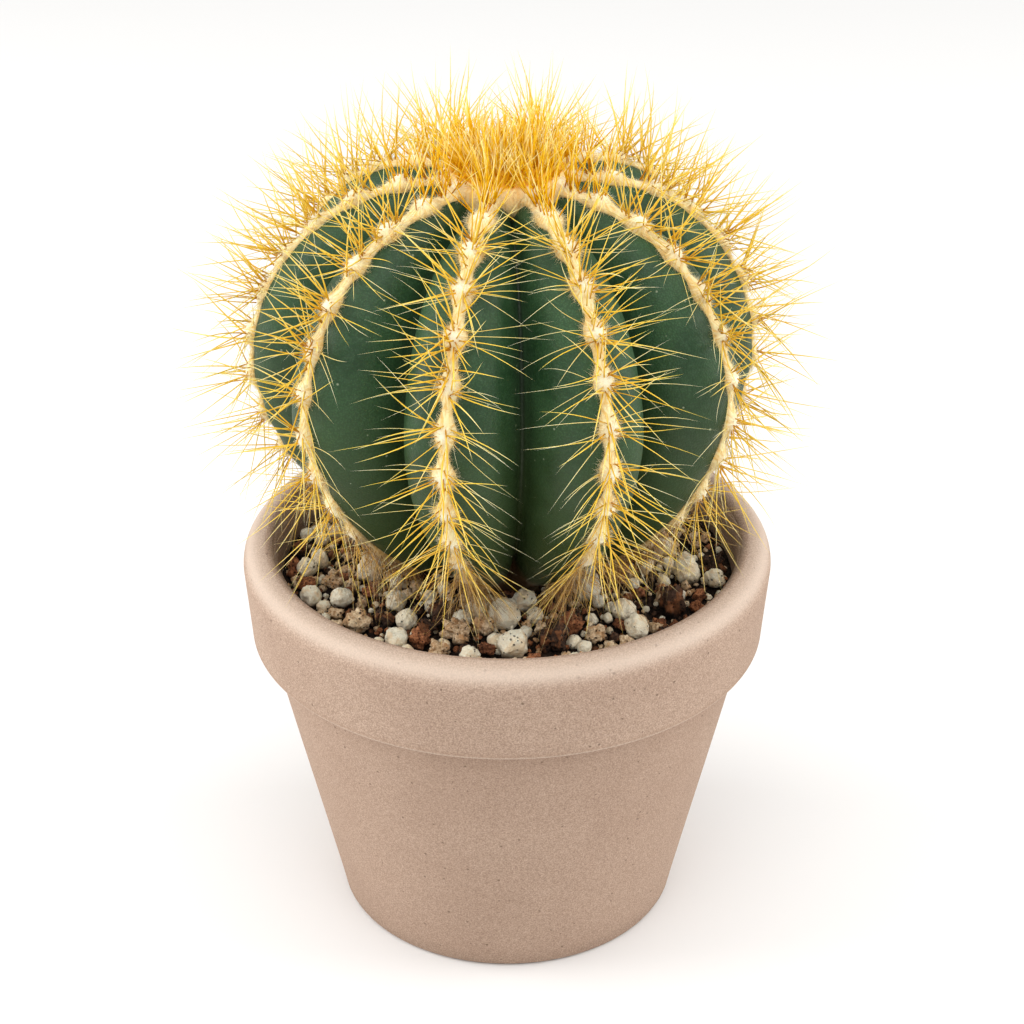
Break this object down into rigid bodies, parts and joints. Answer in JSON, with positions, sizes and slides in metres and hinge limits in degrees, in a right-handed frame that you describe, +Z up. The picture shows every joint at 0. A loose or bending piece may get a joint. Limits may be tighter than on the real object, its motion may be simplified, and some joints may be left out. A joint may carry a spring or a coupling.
{
  "type": "potted round cactus",
  "caption": "Round ribbed cactus with woolly areoles and long golden spines, growing in gritty soil in a tapered unglazed clay pot with a rim band.",
  "frame": {"origin": "the middle of the pot's underside, on the surface that the pot stands on", "axes": "+Z up along the axis of the pot and the stem; the front, as seen in the picture, is -Y, with +X to its right"},
  "size_m": [0.1412, 0.1391, 0.2006],
  "materials": {
    "clay": "unglazed, matt and fine-grained",
    "grit": "loose pumice, lava grit and soil",
    "cactus_skin": "waxy satin skin",
    "wool_and_spines": "cream felt with stiff golden spines"
  },
  "bodies": {
    "root": {"pot": "clay", "gritty_soil": "grit", "ribbed_stem": "cactus_skin", "rib_areoles_01": "wool_and_spines", "rib_areoles_02": "wool_and_spines", "rib_areoles_03": "wool_and_spines", "rib_areoles_04": "wool_and_spines", "rib_areoles_05": "wool_and_spines", "rib_areoles_06": "wool_and_spines", "rib_areoles_07": "wool_and_spines", "rib_areoles_08": "wool_and_spines", "rib_areoles_09": "wool_and_spines", "rib_areoles_10": "wool_and_spines", "crown_areoles": "wool_and_spines"}
  },
  "joints": []
}
